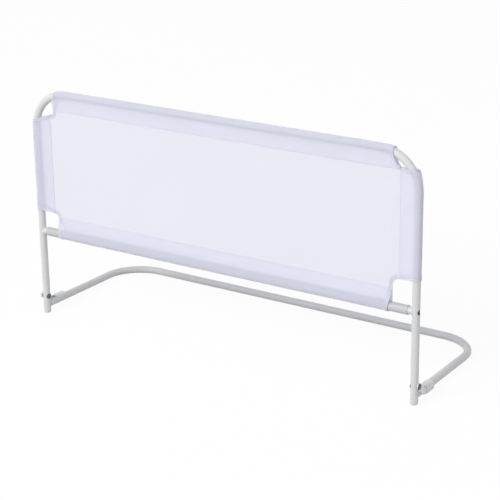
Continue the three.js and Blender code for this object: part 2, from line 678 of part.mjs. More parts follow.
function sideSleeve(label, side, lowerCut, upperCut) {
  const bottom = CROSS_RAIL_HEIGHT + lowerCut.depth - lowerCut.bevel;
  const top = TOP_RAIL_HEIGHT - upperCut.depth + upperCut.bevel;
  const inset = bendInset(TOP_BEND_RADIUS - upperCut.depth);
  const loose = sleeve(top - bottom, SLEEVE_RADIUS, inset)
    .rotateZ(side < 0 ? 0 : Math.PI)
    .translate(side * LEG_X, 0, bottom);
  return piece(`${label}_sleeve`, cutAway(loose, [bottomCut(side), topCut(side)]), sleeveFabric);
}

// The rails' sleeves run between the seams of the legs' sleeves
function railSleeve(radius, inset) {
  const length = LEG_SPACING - 2 * (SEAM_REACH + FIT_GAP);
  return sleeve(length, radius, inset).rotateY(Math.PI / 2).translate(-length / 2, 0, 0);
}

function topSleeve() {
  const inset = bendInset(TOP_BEND_RADIUS - Math.min(TOP_LEFT_CUT_WIDTH, TOP_RIGHT_CUT_WIDTH));
  const loose = railSleeve(SLEEVE_RADIUS, inset).translate(0, 0, TOP_RAIL_HEIGHT);
  return piece('top_sleeve', cutAway(loose, [topCut(SIDES.left), topCut(SIDES.right)]), sleeveFabric);
}

function bottomSleeve() {
  const loose = railSleeve(BOTTOM_SLEEVE_RADIUS, 0).rotateX(Math.PI).translate(0, 0, CROSS_RAIL_HEIGHT);
  const cuts = [bottomCut(SIDES.left), bottomCut(SIDES.right)];
  return piece('bottom_sleeve', cutAway(loose, cuts), sleeveFabric);
}

function meshPanel() {
  const reach = SEAM_REACH + FIT_GAP;
  const width = LEG_SPACING - 2 * reach;
  const height = TOP_RAIL_HEIGHT - CROSS_RAIL_HEIGHT - 2 * reach;
  const sheet = new THREE.BoxGeometry(width, MESH_THICKNESS, height)
    .translate(0, 0, (TOP_RAIL_HEIGHT + CROSS_RAIL_HEIGHT) / 2);
  const cuts = Object.values(SIDES).flatMap((side) => [topCut(side), bottomCut(side)]);
  return piece('mesh_panel', cutAway(sheet, cuts), meshFabric);
}

// Assembly
function uprightGroup() {
  const group = new THREE.Group();
  group.add(upperFrame(), crossRail(), meshPanel(), topSleeve(), bottomSleeve());
  group.add(sideSleeve('left', SIDES.left, CUTS.bottomLeft, CUTS.topLeft));
  group.add(sideSleeve('right', SIDES.right, CUTS.bottomRight, CUTS.topRight));
  for (const [label, side] of Object.entries(SIDES)) {
    group.add(legCap(label, side), railPlug(label, side), railBolt(label, side), railBush(label, side));
    group.add(railNut(label, side), pivotBolt(label, side), pivotBush(label, side), pivotNut(label, side));
  }
  return group;
}

function baseGroup() {
  const group = new THREE.Group();
  group.add(baseBar());
  for (const [label, side] of Object.entries(SIDES)) {
    group.add(armPlug(label, side), hingePlate(label, side), hingeCover(label, side));
    group.add(plateRivet(label, side, 'front', RIVET_FRONT), plateRivet(label, side, 'rear', RIVET_REAR));
  }
  group.position.z = ARM_HEIGHT;
  group.rotation.x = -ARM_SLOPE;
  return group;
}

const guardRail = new THREE.Group();
guardRail.add(uprightGroup(), baseGroup());
guardRail.position.y = -CENTRE_Y;

export default guardRail;
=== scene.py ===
# Folding bed guard rail: materials, fabric panel with its loose sleeves, light and camera.
# Everything is in metres in the solids' own frame: X along the rail, Y back under the bed, Z up.

import math

import bmesh
import bpy
from mathutils import Matrix, Vector, noise


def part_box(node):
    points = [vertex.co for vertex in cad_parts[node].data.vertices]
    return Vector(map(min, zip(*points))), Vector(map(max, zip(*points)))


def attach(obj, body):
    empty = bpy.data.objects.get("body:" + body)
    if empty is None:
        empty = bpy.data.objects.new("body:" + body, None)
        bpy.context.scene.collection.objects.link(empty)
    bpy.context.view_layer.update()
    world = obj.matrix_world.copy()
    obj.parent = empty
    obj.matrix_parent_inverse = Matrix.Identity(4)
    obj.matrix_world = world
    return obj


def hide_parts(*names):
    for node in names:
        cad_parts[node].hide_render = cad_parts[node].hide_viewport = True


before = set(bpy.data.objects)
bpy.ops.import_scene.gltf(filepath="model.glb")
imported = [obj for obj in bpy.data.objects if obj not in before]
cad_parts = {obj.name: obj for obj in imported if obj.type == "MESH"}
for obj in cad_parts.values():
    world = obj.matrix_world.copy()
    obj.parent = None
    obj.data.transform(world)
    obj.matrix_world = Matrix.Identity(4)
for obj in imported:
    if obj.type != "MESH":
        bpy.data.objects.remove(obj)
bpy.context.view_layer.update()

MM = 0.001

# Sizes that the fabric shares with the frame
TUBE_RADIUS = 8 * MM
SEAM_REACH = 38 * MM
SEAM_HALF = 0.35 * MM
SEAM_ALLOWANCE = 0.9 * MM
SLEEVE_CLEARANCE = 1.1 * MM
TOP_BEND_RADIUS = 78 * MM

# Notches at the fabric's corners, measured from the corner where the tubes' axes cross:
# the cut's width along the rail, its depth along the leg, the reach of its rounded inner corner and
# how full that rounding is, from 1, straight, to 2, round; slant is how much deeper the cut is at the
# leg's axis, and lean how much wider it is at the rail's axis
NOTCHES = {
    "top_left": {
        "width": 46 * MM, "depth": 45.5 * MM, "corner": 4.5 * MM, "fullness": 2,
        "slant": 14 * MM, "lean": 6.5 * MM,
    },
    "top_right": {
        "width": 47 * MM, "depth": 32 * MM, "corner": 11.5 * MM, "fullness": 1.25,
        "slant": 2 * MM, "lean": 3 * MM,
    },
    "bottom_left": {
        "width": 47 * MM, "depth": 46 * MM, "corner": 13 * MM, "fullness": 2,
        "slant": 4 * MM, "lean": 4 * MM,
    },
    "bottom_right": {
        "width": 50 * MM, "depth": 59 * MM, "corner": 15 * MM, "fullness": 2,
        "slant": 4 * MM, "lean": 6 * MM,
    },
}
CORNER_STEPS = 12
SLANT_LIMIT_SHARE = 1.2

# Hems: each end is folded under once and stitched down, and the stitches draw a groove in it. Rows of
# points lie at shares of the hem's width on its outer and its under layer; the fold is half way between
# the layers, and by the seam a layer moves in by no more than a share of the room that it has
HEM_WIDTH = 9 * MM
HEM_RISE = 0.5 * MM
HEM_GAP = 0.5 * MM
HEM_STEP = 1.5 * MM
HEM_STITCH = 7.5 * MM
GROOVE_DEPTH = 0.3 * MM
GROOVE_HALF = 0.8 * MM
HEM_ROW_SHARES = (0.05, 0.3, 0.55, 0.7, 0.77, 0.83, 0.89, 0.96, 1.03, 1.1, 1.3)
UNDER_ROW_SHARES = (1, 0.5, 0.05)
FOLD_MIDDLE_SHARE = 0.5
FOLD_LIMIT_SHARE = 0.6

# Thread
STITCH_LENGTH = 2.6 * MM
STITCH_PITCH = 3.4 * MM
STITCH_RADIUS = 0.22 * MM
STITCH_RING_SHARES = (0.22, 0.78)
STITCH_SIDES = 4
SEAM_STITCH_REACH = SEAM_REACH - 0.7 * MM
STEEP_SHARE = 0.9

# How closely a sleeve's outer side follows the tube's bend, where it is snug and where it is loose;
# how far from the seam the cloth's waves have their full height; and the least distance from the
# tube's axis, as a share of the sleeve's radius, that gives a direction to push the cloth in
SNUG_SHARE = 1
LOOSE_SHARE = 0.55
LOOSE_ZONE = 8 * MM
NEAR_AXIS_SHARE = 0.25

# Waves in the cloth: height, the coarse and the fine wave's shares of it, and how many of each
# there are in a metre in the cloth's two directions; seeds make each sleeve's waves its own
SLEEVE_WAVE = 0.6 * MM
SLEEVE_WAVE_SHARES = (1, 0.6)
SLEEVE_WAVE_COUNTS = ((22, 30), (55, 20))
SLEEVE_WAVE_SEEDS = {"left_sleeve": 2, "right_sleeve": 4, "top_sleeve": 11, "bottom_sleeve": 17}
BACK_SEED_STEP = 5
FINE_SEED_STEP = 9
PANEL_WAVE = 1.2 * MM
PANEL_WAVE_SHARES = (1, 0.35)
PANEL_WAVE_COUNTS = ((5, 3.5), (16, 9))
PANEL_WAVE_SEEDS = (1, 4)
PANEL_WAVE_HOLD = 60 * MM

# Mesh density of the fabric pieces
ROW_LENGTH = 8 * MM
SLOPE_STEPS = 9
SHOULDER_STEPS = 4
SIDE_STEPS = 2
OUTSIDE_STEPS = 9
PANEL_COLUMN = 8 * MM
PANEL_EDGE_COLUMN = 0.7 * MM
PANEL_EDGE_ZONE = 16 * MM
PANEL_ROWS = 36
MERGE_DISTANCE = 0.001 * MM
TINY = 1e-9

# Camera: the picture's side, the focal length and the place of the camera's axis in pixels
PICTURE = 500
FOCAL_PIXELS = 1561.5
CENTRE_U = 248.9
CENTRE_V = 199.9
CAMERA_PLACE = Vector((1649.8, -2468.6, 1348.0)) * MM
CAMERA_YAW = math.radians(32.43)
CAMERA_PITCH = math.radians(18.77)
CAMERA_ROLL = math.radians(0.78)
SENSOR = 36

# White paint and white plastic: how pale the darkest patches of each are, how much paler the others
# are, how much bluer all are than grey, and the patches' detail; then the patches and the grain in a
# metre, the grain's detail, the roughness from patch to patch, and the grain's strength and depth
FRAME_TONE = 0.64
# Painted shade: the base bar carries the frame's powder coat made darker, for the shade that falls on it
# low by the floor and behind the panel
BASE_PAINTED_SHADE_TONE = 0.59
# Painted shade: the cross rail carries the frame's powder coat made darker
RAIL_PAINTED_SHADE_TONE = 0.5
# Painted light: the hinge plate carries the frame's powder coat made paler, against the shade it sits in
PLATE_PAINTED_LIGHT_TONE = 0.75
CAP_TONE = 0.65
# Painted light: the hinge covers and the arm plugs carry the caps' plastic made paler
COVER_PAINTED_LIGHT_TONE = 0.7
WHITE_VARIATION = 0.05
WHITE_TINT = 0.01
WHITE_DETAIL = 3
PAINT = {
    "patches": 9, "grain": 900, "detail": 2, "roughness": (0.32, 0.46),
    "strength": 0.12, "depth": 0.4 * MM,
}
PLASTIC = {
    "patches": 30, "grain": 2500, "detail": 1, "roughness": (0.42, 0.56),
    "strength": 0.15, "depth": 0.2 * MM,
}

# Zinc
ZINC_DARK = (0.09, 0.09, 0.095)
ZINC_LIGHT = (0.19, 0.19, 0.2)
ZINC_METALLIC = 0.85
ZINC_PATCHES = 180
ZINC_DETAIL = 5
ZINC_ROUGHNESS = (0.35, 0.6)
ZINC_STRENGTH = 0.1
FINE_DEPTH = 0.2 * MM

# Cloth: the panel's mesh is darker than the sleeves' woven cloth, whose paler tone is painted light that
# makes up for the shade between a sleeve's two layers; threads cover more of what is behind them than the
# gaps between them do
MESH_TONE = 0.69
# Painted light: the sleeves' cloth is made paler to make up for the shade between its layers
WOVEN_PAINTED_LIGHT_TONE = 0.785
CLOTH_VARIATION = 0.035
CLOTH_TINT = 0.105
CLOTH_PATCHES = 6
CLOTH_DETAIL = 4
MESH_PITCH = 1.3 * MM
WOVEN_PITCH = 1.1 * MM
GAP_COVER = 0.33
THREAD_COVER = 0.85
CLOTH_ROUGHNESS = 0.9
CLOTH_SCATTER = 1
CLOTH_SHEEN = 0.5
CLOTH_STRENGTH = 0.25

# Sewing thread's look
THREAD_DARK = (0.66, 0.66, 0.75)
THREAD_LIGHT = (0.8, 0.8, 0.86)
THREAD_TWISTS = 2200
THREAD_DETAIL = 2
THREAD_ROUGHNESS = 0.8
THREAD_STRENGTH = 0.3

# Light
WHITE = (1, 1, 1)
SKY_COLOUR = (0.97, 0.98, 1)
DOME_STRENGTH = 1.35
ZENITH_SHARE = 0.25
KEY_POWER = 415
KEY_SIZE = 3.5
KEY_PLACE = Vector((-2.4, -7.2, 5.4))
FLOOR_HALF = 12
FLOOR_GLOW_SHARE = 0.92
FLOOR_BOUNCE_SHARE = 0.48

# Places taken from the frame
frame_low, frame_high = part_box("upper_frame")
rail_low, rail_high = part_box("cross_rail")
LEG_X = frame_high.x - TUBE_RADIUS
PANEL_Y = (frame_low.y + frame_high.y) / 2
TOP_Z = frame_high.z - TUBE_RADIUS
CROSS_Z = (rail_low.z + rail_high.z) / 2
CROSS_RADIUS = (rail_high.z - rail_low.z) / 2
SLEEVE_RADIUS = TUBE_RADIUS + SLEEVE_CLEARANCE
RAIL_SLEEVE_RADIUS = CROSS_RADIUS + SLEEVE_CLEARANCE
PANEL_REACH = SEAM_REACH - SEAM_ALLOWANCE


# Node helpers
def new_material(name):
    material = bpy.data.materials.new(name)
    material.use_nodes = True
    nodes = material.node_tree.nodes
    return material, nodes, material.node_tree.links, nodes["Principled BSDF"]


def add_noise(nodes, links, scale, detail):
    place = nodes.new("ShaderNodeTexCoord")
    texture = nodes.new("ShaderNodeTexNoise")
    texture.inputs["Scale"].default_value = scale
    texture.inputs["Detail"].default_value = detail
    links.new(place.outputs["Object"], texture.inputs["Vector"])
    return texture.outputs["Fac"]


def add_ramp(nodes, links, source, low, high):
    ramp = nodes.new("ShaderNodeMapRange")
    ramp.inputs["To Min"].default_value = low
    ramp.inputs["To Max"].default_value = high
    links.new(source, ramp.inputs["Value"])
    return ramp.outputs["Result"]


def add_bump(nodes, links, shader, height, strength, distance):
    bump = nodes.new("ShaderNodeBump")
    bump.inputs["Strength"].default_value = strength
    bump.inputs["Distance"].default_value = distance
    links.new(height, bump.inputs["Height"])
    links.new(bump.outputs["Normal"], shader.inputs["Normal"])


def opaque(colour):
    return (*colour, 1)


# A mix node keeps one set of sockets for each kind of value: these are the ones for colours
def mix_colours(nodes, links, factor, first, second):
    mix = nodes.new("ShaderNodeMix")
    mix.data_type = "RGBA"
    first_socket, second_socket = [socket for socket in mix.inputs if socket.type == "RGBA"]
    first_socket.default_value = opaque(first)
    second_socket.default_value = opaque(second)
    links.new(factor, mix.inputs["Factor"])
    return next(socket for socket in mix.outputs if socket.type == "RGBA")


def mix_shaders(nodes, links, factor, first, second):
    mix = nodes.new("ShaderNodeMixShader")
    factor_socket, first_socket, second_socket = mix.inputs
    links.new(factor, factor_socket)
    links.new(first.outputs[0], first_socket)
    links.new(second.outputs[0], second_socket)
    return mix.outputs["Shader"]


# Each value is a number or another node's output
def combine(nodes, links, operation, *values):
    node = nodes.new("ShaderNodeMath")
    node.operation = operation
    for socket, value in zip(node.inputs, values):
        if isinstance(value, (int, float)):
            socket.default_value = value
        else:
            links.new(value, socket)
    return node.outputs["Value"]


# Materials
# A nearly white colour: tone is how pale it is, tint how much bluer than grey
def pale(tone, tint):
    return (tone, tone, tone + tint)


# Powder coat on steel, or moulded plastic
def white_surface(name, look, tone):
    material, nodes, links, shader = new_material(name)
    patches = add_noise(nodes, links, look["patches"], WHITE_DETAIL)
    grain = add_noise(nodes, links, look["grain"], look["detail"])
    darker, paler = pale(tone, WHITE_TINT), pale(tone + WHITE_VARIATION, WHITE_TINT)
    links.new(mix_colours(nodes, links, patches, darker, paler), shader.inputs["Base Color"])
    links.new(add_ramp(nodes, links, patches, *look["roughness"]), shader.inputs["Roughness"])
    add_bump(nodes, links, shader, grain, look["strength"], look["depth"])
    return material


def dark_zinc():
    material, nodes, links, shader = new_material("dark_zinc")
    patches = add_noise(nodes, links, ZINC_PATCHES, ZINC_DETAIL)
    links.new(mix_colours(nodes, links, patches, ZINC_DARK, ZINC_LIGHT), shader.inputs["Base Color"])
    links.new(add_ramp(nodes, links, patches, *ZINC_ROUGHNESS), shader.inputs["Roughness"])
    shader.inputs["Metallic"].default_value = ZINC_METALLIC
    add_bump(nodes, links, shader, patches, ZINC_STRENGTH, FINE_DEPTH)
    return material


# A plain weave from the fabric's own lengths, which its UV map holds in metres
def add_weave(nodes, links, pitch):
    place = nodes.new("ShaderNodeUVMap")
    place.uv_map = "fabric"
    split = nodes.new("ShaderNodeSeparateXYZ")
    links.new(place.outputs["UV"], split.inputs["Vector"])
    waves = []
    for axis in ("X", "Y"):
        turn = combine(nodes, links, "MULTIPLY", split.outputs[axis], 2 * math.pi / pitch)
        waves.append(combine(nodes, links, "SINE", turn))
    return combine(nodes, links, "MAXIMUM", *waves)


# Cloth with an open weave, which shows some of what is behind it
def open_weave(name, pitch, tone):
    material, nodes, links, shader = new_material(name)
    thread = add_weave(nodes, links, pitch)
    patches = add_noise(nodes, links, CLOTH_PATCHES, CLOTH_DETAIL)
    darker, paler = pale(tone, CLOTH_TINT), pale(tone + CLOTH_VARIATION, CLOTH_TINT)
    links.new(mix_colours(nodes, links, patches, darker, paler), shader.inputs["Base Color"])
    links.new(add_ramp(nodes, links, thread, GAP_COVER, THREAD_COVER), shader.inputs["Alpha"])
    shader.inputs["Roughness"].default_value = CLOTH_ROUGHNESS
    shader.inputs["Diffuse Roughness"].default_value = CLOTH_SCATTER
    shader.inputs["Sheen Weight"].default_value = CLOTH_SHEEN
    add_bump(nodes, links, shader, thread, CLOTH_STRENGTH, FINE_DEPTH)
    return material


def seam_thread():
    material, nodes, links, shader = new_material("seam_thread")
    twist = add_noise(nodes, links, THREAD_TWISTS, THREAD_DETAIL)
    links.new(mix_colours(nodes, links, twist, THREAD_DARK, THREAD_LIGHT), shader.inputs["Base Color"])
    shader.inputs["Roughness"].default_value = THREAD_ROUGHNESS
    add_bump(nodes, links, shader, twist, THREAD_STRENGTH, FINE_DEPTH)
    return material


# Notch outline: how far from the leg's axis the fabric starts at a depth below or above the rail,
# and how far from the rail's axis it starts at a reach from the leg
def rounded(notch, into):
    corner, power = notch["corner"], notch["fullness"]
    into = min(max(into, 0), corner)
    return (corner ** power - into ** power) ** (1 / power)


def notch_width(notch, depth):
    start = notch["depth"] - notch["corner"]
    lean = notch["lean"] * min(max((start - depth) / start, 0), SLANT_LIMIT_SHARE)
    return notch["width"] - notch["corner"] + rounded(notch, depth - start) + lean


def notch_depth(notch, reach):
    start = notch["width"] - notch["corner"]
    slant = notch["slant"] * min(max((start - reach) / start, 0), SLANT_LIMIT_SHARE)
    return notch["depth"] - notch["corner"] + rounded(notch, reach - start) + slant


# Points along the notch's edge where the panel reaches it, as (reach, depth), from one seam to the other
def notch_edge(notch):
    start_reach = notch["width"] - notch["corner"]
    start_depth = notch["depth"] - notch["corner"]
    power = 2 / notch["fullness"]
    points = []
    if PANEL_REACH < start_reach:
        points.append((PANEL_REACH, notch_depth(notch, PANEL_REACH)))
    for i in range(CORNER_STEPS + 1):
        angle = math.pi / 2 * i / CORNER_STEPS
        reach = start_reach + notch["corner"] * math.sin(angle) ** power
        depth = start_depth + notch["corner"] * max(math.cos(angle), 0) ** power
        if reach >= PANEL_REACH and depth >= PANEL_REACH:
            points.append((reach, depth))
    if PANEL_REACH < start_depth:
        points.append((notch["width"], PANEL_REACH))
    return points


# Small helpers for the cloth
def smooth(value):
    value = min(max(value, 0), 1)
    return value * value * (3 - 2 * value)


def cloth_wave(first, second, shares, counts, seeds):
    wave = 0
    for share, (first_count, second_count), seed in zip(shares, counts, seeds):
        wave += share * noise.noise(Vector((first * first_count, second * second_count, seed)))
    return wave


# Faces between lines of points, whose first point has the number start
def grid_faces(lines, points, start=0):
    faces = []
    for i in range(lines - 1):
        for j in range(points - 1):
            near = start + i * points + j
            far = near + points
            faces.append((near, near + 1, far + 1, far))
    return faces


def mesh_object(name, vertices, faces, uvs, material):
    mesh = bpy.data.meshes.new(name)
    mesh.from_pydata(vertices, [], faces)
    layer = mesh.uv_layers.new(name="fabric")
    for loop in mesh.loops:
        layer.data[loop.index].uv = uvs[loop.vertex_index]
    for polygon in mesh.polygons:
        polygon.use_smooth = True
    mesh.materials.append(material)
    thing = bpy.data.objects.new(name, mesh)
    bpy.context.collection.objects.link(thing)
    return thing


# Points that coincide become one, and every face looks outwards
def clean_mesh(thing):
    work = bmesh.new()
    work.from_mesh(thing.data)
    bmesh.ops.remove_doubles(work, verts=work.verts, dist=MERGE_DISTANCE)
    bmesh.ops.recalc_face_normals(work, faces=work.faces)
    work.to_mesh(thing.data)
    work.free()


# A sleeve's shape. start and end give the sleeve's two ends at a reach from the tube's axis; place puts
# a point (along, reach, side) into the frame; inset gives how far the tube has bent inwards at a place
# along, and settle how closely the cloth's outer side follows it there; side is negative on the front
def leg_sleeve(side):
    label = "left" if side < 0 else "right"
    upper = NOTCHES[f"top_{label}"]
    lower = NOTCHES[f"bottom_{label}"]
    return {
        "name": f"{label}_sleeve",
        "radius": SLEEVE_RADIUS,
        "start": lambda reach: CROSS_Z + notch_depth(lower, reach),
        "end": lambda reach: TOP_Z - notch_depth(upper, reach),
        "inset": lambda along: bend_inset(along - (TOP_Z - TOP_BEND_RADIUS)),
        "settle": lambda along: SNUG_SHARE if side < 0 else LOOSE_SHARE,
        "place": lambda along, reach, across: (side * (LEG_X - reach), PANEL_Y + across, along),
    }


def top_sleeve():
    return {
        "name": "top_sleeve",
        "radius": SLEEVE_RADIUS,
        "start": lambda reach: -rail_end(NOTCHES["top_left"], reach),
        "end": lambda reach: rail_end(NOTCHES["top_right"], reach),
        "inset": lambda along: bend_inset(abs(along) - (LEG_X - TOP_BEND_RADIUS)),
        "settle": lambda along: SNUG_SHARE if along < 0 else LOOSE_SHARE,
        "place": lambda along, reach, across: (along, PANEL_Y + across, TOP_Z - reach),
    }


def bottom_sleeve():
    return {
        "name": "bottom_sleeve",
        "radius": RAIL_SLEEVE_RADIUS,
        "start": lambda reach: -rail_end(NOTCHES["bottom_left"], reach),
        "end": lambda reach: rail_end(NOTCHES["bottom_right"], reach),
        "inset": lambda along: 0,
        "settle": lambda along: SNUG_SHARE,
        "place": lambda along, reach, across: (along, PANEL_Y + across, CROSS_Z + reach),
    }


def rail_end(notch, reach):
    return LEG_X - max(notch_width(notch, reach), SEAM_REACH)


def bend_inset(distance):
    into = min(max(distance, 0), TOP_BEND_RADIUS)
    return TOP_BEND_RADIUS - math.sqrt(TOP_BEND_RADIUS ** 2 - into ** 2)


# Section of a sleeve as (reach, side) points: from the seam's front down the slope to the tube, over its
# shoulder, along its side where it has bent inwards, round its outside, and back the same way to the
# seam's back
def sleeve_section(radius, outer, inset):
    half_angle = math.acos(radius / math.hypot(SEAM_REACH - inset, SEAM_HALF))
    touch = math.atan2(SEAM_HALF, SEAM_REACH - inset) + half_angle
    points = []
    tip = (SEAM_REACH, SEAM_HALF)
    foot = (inset + radius * math.cos(touch), radius * math.sin(touch))
    for i in range(SLOPE_STEPS):
        share = i / SLOPE_STEPS
        points.append((tip[0] + (foot[0] - tip[0]) * share, tip[1] + (foot[1] - tip[1]) * share))
    for i in range(SHOULDER_STEPS):
        angle = touch + (math.pi / 2 - touch) * i / SHOULDER_STEPS
        points.append((inset + radius * math.cos(angle), radius * math.sin(angle)))
    for i in range(SIDE_STEPS):
        points.append((inset + (outer - inset) * i / SIDE_STEPS, radius))
    for i in range(OUTSIDE_STEPS + 1):
        angle = math.pi / 2 + math.pi / 2 * i / OUTSIDE_STEPS
        points.append((outer + radius * math.cos(angle), radius * math.sin(angle)))
    front = [(reach, -height) for reach, height in points]
    back = [(reach, height) for reach, height in reversed(points[:-1])]
    return front + back


# Rows along a sleeve: share of the way from its start to its end, a distance added to that, and how far
# the cloth is folded under, from 0 on the outer layer to 1 on the hem's inner layer
def sleeve_rows(shape):
    length = shape["end"](0) - shape["start"](0)
    under = [(0, share * HEM_WIDTH, 1) for share in UNDER_ROW_SHARES]
    over = [(0, share * HEM_WIDTH, 0) for share in HEM_ROW_SHARES]
    first = under + [(0, 0, FOLD_MIDDLE_SHARE)] + over
    edge = HEM_ROW_SHARES[-1] * HEM_WIDTH
    count = math.ceil((length - 2 * edge) / ROW_LENGTH)
    middle = [(i / count, edge * (1 - 2 * i / count), 0) for i in range(1, count)]
    last = [(1, -offset, fold) for share, offset, fold in reversed(first)]
    return first + middle + last


# How the tube lies inside the sleeve at one row: where the cloth's outer side and the tube's axis are
def sleeve_core(shape, row):
    share, offset, fold = row
    low, high = shape["start"](0), shape["end"](0)
    along = low + (high - low) * share + offset
    inset = shape["inset"](along)
    return inset * shape["settle"](along), inset


# One point of the cloth, pushed out or in by its waves, its hem and the groove along the hem's stitches
def sleeve_point(shape, row, core, reach, side, lift=0):
    share, offset, fold = row
    outer, inset = core
    radius = shape["radius"]
    low, high = shape["start"](reach), shape["end"](reach)
    along = low + (high - low) * share + offset
    from_end = min(along - low, high - along)
    hem = HEM_RISE * smooth((HEM_WIDTH - from_end) / HEM_STEP)
    hem -= GROOVE_DEPTH * math.exp(-((from_end - HEM_STITCH) / GROOVE_HALF) ** 2)
    loose = min(max((SEAM_REACH - reach) / LOOSE_ZONE, 0), 1)
    seed = SLEEVE_WAVE_SEEDS[shape["name"]]
    seeds = (seed + (BACK_SEED_STEP if side > 0 else 0), seed + FINE_SEED_STEP)
    wave = cloth_wave(along, reach, SLEEVE_WAVE_SHARES, SLEEVE_WAVE_COUNTS, seeds)
    push = SLEEVE_WAVE * wave * loose + hem - fold * HEM_GAP
    if reach > inset + radius:
        out_reach, out_side = 0, math.copysign(1, side)
        push = max(push, -FOLD_LIMIT_SHARE * abs(side))
    else:
        centre = min(max(reach, outer), inset)
        distance = max(math.hypot(reach - centre, side), NEAR_AXIS_SHARE * radius)
        out_reach, out_side = (reach - centre) / distance, side / distance
    push += lift
    return shape["place"](along, reach + out_reach * push, side + out_side * push), along


# A sleeve's cloth; its UV map holds the distance along it and the way walked round it
def sleeve(shape, material):
    vertices, uvs = [], []
    rows = sleeve_rows(shape)
    for row in rows:
        core = sleeve_core(shape, row)
        section = sleeve_section(shape["radius"], *core)
        walked = 0
        previous = section[0]
        for reach, side in section:
            walked += math.hypot(reach - previous[0], side - previous[1])
            previous = (reach, side)
            point, along = sleeve_point(shape, row, core, reach, side)
            vertices.append(point)
            uvs.append((along, walked))
    faces = grid_faces(len(rows), len(vertices) // len(rows))
    thing = mesh_object(f"{shape['name']}_fabric", vertices, faces, uvs, material)
    clean_mesh(thing)
    return thing


# Lines that a sleeve is stitched along: round each hem and down both sides of the seam
def sleeve_stitch_lines(shape):
    lines = []
    for row in ((0, HEM_STITCH, 0), (1, -HEM_STITCH, 0)):
        core = sleeve_core(shape, row)
        section = sleeve_section(shape["radius"], *core)
        points = [sleeve_point(shape, row, core, reach, side, STITCH_RADIUS) for reach, side in section]
        lines.append([point for point, along in points])
    rows = [row for row in sleeve_rows(shape) if row[2] == 0]
    for face in (-1, 1):
        line = []
        for row in rows:
            core = sleeve_core(shape, row)
            side = face * (SEAM_HALF + STITCH_RADIUS)
            line.append(sleeve_point(shape, row, core, SEAM_STITCH_REACH, side)[0])
        lines.append(line)
    return lines


# One stitch: a short spindle of thread between two points, with rings set out from Z, or from X where
# the stitch is steep
def add_stitch(vertices, faces, start, end):
    forward = (end - start).normalized()
    helper = Vector((0, 0, 1)) if abs(forward.z) < STEEP_SHARE else Vector((1, 0, 0))
    first = forward.cross(helper).normalized()
    second = forward.cross(first)
    base = len(vertices)
    vertices.append(start)
    for share in STITCH_RING_SHARES:
        for i in range(STITCH_SIDES):
            angle = 2 * math.pi * i / STITCH_SIDES
            across = first * math.cos(angle) + second * math.sin(angle)
            vertices.append(start.lerp(end, share) + across * STITCH_RADIUS)
    tip = len(vertices)
    vertices.append(end)
    for i in range(STITCH_SIDES):
        near = base + 1 + i
        near_next = base + 1 + (i + 1) % STITCH_SIDES
        far, far_next = near + STITCH_SIDES, near_next + STITCH_SIDES
        faces.append((base, near_next, near))
        faces.append((near, near_next, far_next, far))
        faces.append((far, far_next, tip))


# The point at a distance along a line of points
def point_on(line, distance):
    for start, end in zip(line, line[1:]):
        length = (end - start).length
        if distance <= length:
            return start.lerp(end, distance / max(length, TINY))
        distance -= length
    return line[-1]


def stitches(name, lines, material):
    vertices, faces = [], []
    for points in lines:
        line = [Vector(point) for point in points]
        length = sum((end - start).length for start, end in zip(line, line[1:]))
        count = int(length / STITCH_PITCH)
        for i in range(count):
            distance = (i + 1 / 2) * length / count - STITCH_LENGTH / 2
            start = point_on(line, max(distance, 0))
            add_stitch(vertices, faces, start, point_on(line, distance + STITCH_LENGTH))
    thing = mesh_object(name, vertices, faces, [(0, 0)] * len(vertices), material)
    clean_mesh(thing)
    return thing


# Columns across the panel: close together at both sides, where the notches curve
def panel_columns(half):
    edge_count = round(PANEL_EDGE_ZONE / PANEL_EDGE_COLUMN)
    edge = [PANEL_EDGE_ZONE * i / edge_count for i in range(edge_count)]
    inner = half - PANEL_EDGE_ZONE
    count = round(2 * inner / PANEL_COLUMN)
    left = [-half + offset for offset in edge]
    middle = [-inner + 2 * inner * i / count for i in range(count + 1)]
    return left + middle + [-x for x in reversed(left)]


# The mesh panel between the seams, with its corners cut by the notches and a gentle slackness that
# fades out towards the seams; its faces are turned round to look to the front
def mesh_panel(material):
    half = LEG_X - PANEL_REACH
    low_z, high_z = CROSS_Z + PANEL_REACH, TOP_Z - PANEL_REACH
    vertices, uvs = [], []
    columns = panel_columns(half)
    for x in columns:
        label = "left" if x < 0 else "right"
        from_leg = LEG_X - abs(x)
        bottom, top = low_z, high_z
        lower, upper = NOTCHES[f"bottom_{label}"], NOTCHES[f"top_{label}"]
        if from_leg < lower["width"]:
            bottom = max(bottom, CROSS_Z + notch_depth(lower, from_leg))
        if from_leg < upper["width"]:
            top = min(top, TOP_Z - notch_depth(upper, from_leg))
        for j in range(PANEL_ROWS + 1):
            z = bottom + (top - bottom) * j / PANEL_ROWS
            slack = smooth(min(half - abs(x), z - low_z, high_z - z) / PANEL_WAVE_HOLD)
            wave = cloth_wave(x, z, PANEL_WAVE_SHARES, PANEL_WAVE_COUNTS, PANEL_WAVE_SEEDS)
            vertices.append((x, PANEL_Y + PANEL_WAVE * wave * slack, z))
            uvs.append((x, z))
    backward = grid_faces(len(columns), PANEL_ROWS + 1)
    faces = [(first, fourth, third, second) for first, second, third, fourth in backward]
    return mesh_object("mesh_panel_fabric", vertices, faces, uvs, material)


# Corners of the panel that are cut by a notch: side of the rail, the notch, and the height and the
# direction that it is measured from
def panel_corners():
    corners = [
        (-1, NOTCHES["bottom_left"], CROSS_Z, 1), (1, NOTCHES["bottom_right"], CROSS_Z, 1),
        (-1, NOTCHES["top_left"], TOP_Z, -1), (1, NOTCHES["top_right"], TOP_Z, -1),
    ]
    return [corner for corner in corners if len(notch_edge(corner[1])) > 1]


